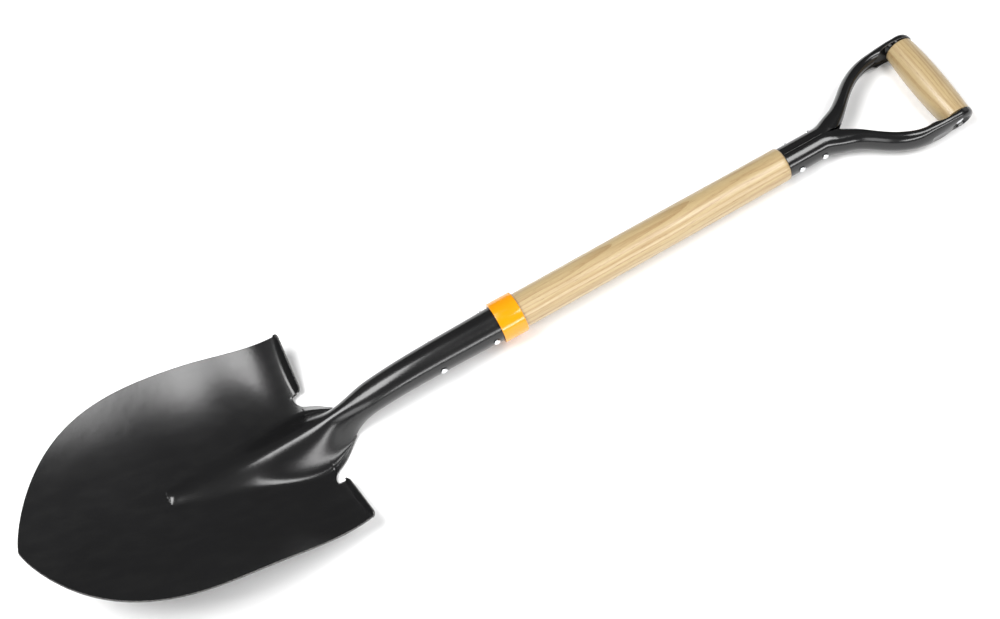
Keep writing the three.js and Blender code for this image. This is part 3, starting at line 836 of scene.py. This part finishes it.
def plastic(name):
    """Moulded orange plastic: a fine skin, faint flow marks and dull scuffs."""
    look = Look(name)
    flow = look.noise(0.02, look.vector("MULTIPLY", look.place, (1.0, 0.4, 0.4)), detail=3.0)
    scuffs = look.noise(0.0025, look.vector("MULTIPLY", look.place, (0.2, 1.0, 1.0)), detail=5.0)
    skin = look.noise(0.0008, detail=2.0)
    colour = look.mix(flow, rgb(0.66, 0.25, 0.001), rgb(0.71, 0.275, 0.002))
    scuffed = look.remap(scuffs, 0.62, 0.8, 0.0, 0.25)
    look.shade(Base_Color=look.mix(scuffed, colour, rgb(0.8, 0.36, 0.012)))
    look.shade(Roughness=look.remap(scuffs, 0.35, 0.75, 0.14, 0.24))
    waves = look.bump(flow, 0.0002, 0.4)
    look.shade(Normal=look.bump(skin, 0.000012, 0.6, waves))
    look.shade(Specular_IOR_Level=0.5, Coat_Weight=0.2, Coat_Roughness=0.12)
    return look.material


def zinc(name):
    """Bright zinc plating over a headed rivet, with hammer marks and stained edges."""
    look = Look(name)
    spangle = look.node("TexVoronoi", {"Vector": look.place, "Scale": 1 / 0.0012})
    dents = look.noise(0.0016, detail=2.0)
    stain = look.noise(0.0022, detail=4.0)
    bright = look.mix(spangle.outputs["Distance"], rgb(0.78, 0.79, 0.8), rgb(0.66, 0.67, 0.69))
    stained = look.remap(stain, 0.5, 0.75, 0.0, 0.6)
    look.shade(Base_Color=look.mix(stained, bright, rgb(0.3, 0.3, 0.31)))
    look.shade(Metallic=1.0, Roughness=look.remap(stain, 0.3, 0.7, 0.18, 0.38))
    look.shade(Normal=look.bump(dents, 0.00012, 0.5))
    return look.material


ASH = {
    "pale": rgb(0.46, 0.365, 0.205),
    "warm": rgb(0.4, 0.295, 0.145),
    "streak": rgb(0.25, 0.145, 0.055),
    "pore": rgb(0.15, 0.082, 0.03),
}
blade_look = enamel("blade_enamel", 0.22, 0.00004, 0.6)
yoke_look = enamel("yoke_enamel", 0.17, 0.000012, 0.5)
shaft_look = wood("shaft_ash", 0, (0.0, 0.021, 0.075), ASH)
grip_look = wood("grip_ash", 1, (0.44, 0.0, 0.03), ASH)
collar_look = plastic("collar_plastic")
zinc_look = zinc("rivet_zinc_look")

# ---------------------------------------------------------------- the pieces

points, faces, normals, edge = blade_mesh()
add_piece("spade_blade", points, faces, blade_look, "blade_black", ["blade"], normals, edge)
for node, side in [("yoke_left", 1), ("yoke_right", -1)]:
    points, faces, normals, edge = yoke_mesh(side)
    add_piece("spade_" + node, points, faces, yoke_look, "yoke_black", [node], normals, edge)

add_piece("spade_shaft", *lathe(shaft_profile(), 96, 0), shaft_look, "shaft_wood", ["shaft"])
add_piece("spade_collar", *lathe(collar_profile(), 96, 0), collar_look, "collar_orange", ["collar"])
points, faces = lathe(grip_profile(), 96, 1)
add_piece("spade_grip", points + [GRIP_X, 0, 0], faces, grip_look, "grip_wood", ["grip"])

SMALL_RIVET = RIVET_ROD_RADIUS, RIVET_HEAD_RADIUS, RIVET_HEAD_HEIGHT
GRIP_RIVET = GRIP_RIVET_ROD_RADIUS, GRIP_RIVET_HEAD_RADIUS, GRIP_RIVET_HEAD_HEIGHT


def add_rivet(node, x, seat, sizes, sides):
    """Adds a rivet along Y whose heads sit on faces at the distance seat from the middle."""
    points, faces = lathe(rivet_profile(*sizes, seat + RIVET_SEAT_GAP), sides, 1)
    add_piece("spade_" + node, points + [x, 0, 0], faces, zinc_look, "rivet_zinc", [node])


for node, x in SOCKET_RIVETS.items():
    add_rivet(node, x, SOCKET_RADIUS + SOCKET_TAPER * x, SMALL_RIVET, 40)
for node, x in YOKE_RIVETS.items():
    add_rivet(node, x, FERRULE_RADIUS, SMALL_RIVET, 40)
add_rivet("grip_rivet", GRIP_X, CUP_FLOOR_Y, GRIP_RIVET, 48)

# ---------------------------------------------------------------- floor, light and camera

FLOOR_REACH = 6.0
WORLD_STRENGTH = 0.1

corners = [(x * FLOOR_REACH, y * FLOOR_REACH, 0) for x, y in [(-1, -1), (1, -1), (1, 1), (-1, 1)]]
floor_mesh = bpy.data.meshes.new("floor")
floor_mesh.from_pydata(corners, [], [(0, 1, 2, 3)])
floor = bpy.data.objects.new("floor", floor_mesh)
bpy.context.scene.collection.objects.link(floor)
floor_look = Look("floor_paper")
floor_grain = floor_look.noise(0.003, detail=4.0)
floor_tone = floor_look.noise(0.8, detail=2.0)
white = floor_look.mix(floor_tone, rgb(0.93, 0.93, 0.93), rgb(0.95, 0.95, 0.95))
floor_look.shade(Base_Color=white)
floor_look.shade(Roughness=floor_look.remap(floor_grain, 0.3, 0.7, 0.8, 0.95))
floor_look.shade(Normal=floor_look.bump(floor_grain, 0.00005, 0.3))
floor_mesh.materials.append(floor_look.material)

world = bpy.data.worlds.new("studio")
world.use_nodes = True
background = world.node_tree.nodes["Background"]
background.inputs["Color"].default_value = rgb(1.0, 1.0, 1.0)
background.inputs["Strength"].default_value = WORLD_STRENGTH
bpy.context.scene.world = world


def panel(name, place, aim, width, height, brightness):
    """A softbox. Its brightness is how bright its face looks, with white paper at about 1."""
    light = bpy.data.lights.new(name, "AREA")
    light.shape = "RECTANGLE"
    light.size = width
    light.size_y = height
    light.energy = brightness * math.pi * width * height
    lamp = bpy.data.objects.new(name, light)
    bpy.context.scene.collection.objects.link(lamp)
    direction = Vector(aim) - Vector(place)
    turn = direction.to_track_quat("-Z", "Y").to_matrix().to_4x4()
    lamp.matrix_world = Matrix.Translation(place) @ turn


panel("overhead", (-0.81, 0.23, 2.03), (-0.2, 0, 0.04), 1.3, 1.1, 13)
panel("key", (0.88, -0.76, 1.65), (-0.3, 0.09, 0.05), 0.85, 0.7, 12)
panel("front_low", (0.55, -2.5, 0.8), (0.2, 0, 0), 2.2, 0.4, 12)
panel("fill", (-1.7, -1.7, 1.0), (-0.1, 0, 0), 1.8, 1.1, 4)
panel("side", (2.6, 0.5, 1.0), (0.2, 0, 0), 2.0, 1.6, 0.8)

# The camera's place, what it looks at and its upward direction, in the tool's frame.
CAMERA_PLACE = Vector((-180.0, -733.5, 1464.8))
CAMERA_AIM = Vector((10.66, 11.22, 0.0))
CAMERA_UP = Vector((0.4834, 0.7533, 0.4459))
CAMERA_LENS = 61.2

camera_data = bpy.data.cameras.new("camera")
camera_data.sensor_width = 36.0
camera_data.sensor_fit = "HORIZONTAL"
camera_data.lens = CAMERA_LENS
camera = bpy.data.objects.new("camera", camera_data)
bpy.context.scene.collection.objects.link(camera)
backward = (CAMERA_PLACE - CAMERA_AIM).normalized()
rightward = CAMERA_UP.cross(backward).normalized()
pose = Matrix((rightward, backward.cross(rightward), backward)).transposed().to_4x4()
pose.translation = CAMERA_PLACE * MM
camera.matrix_world = TOOL @ pose
bpy.context.scene.camera = camera
bpy.context.scene.view_settings.view_transform = "Standard"
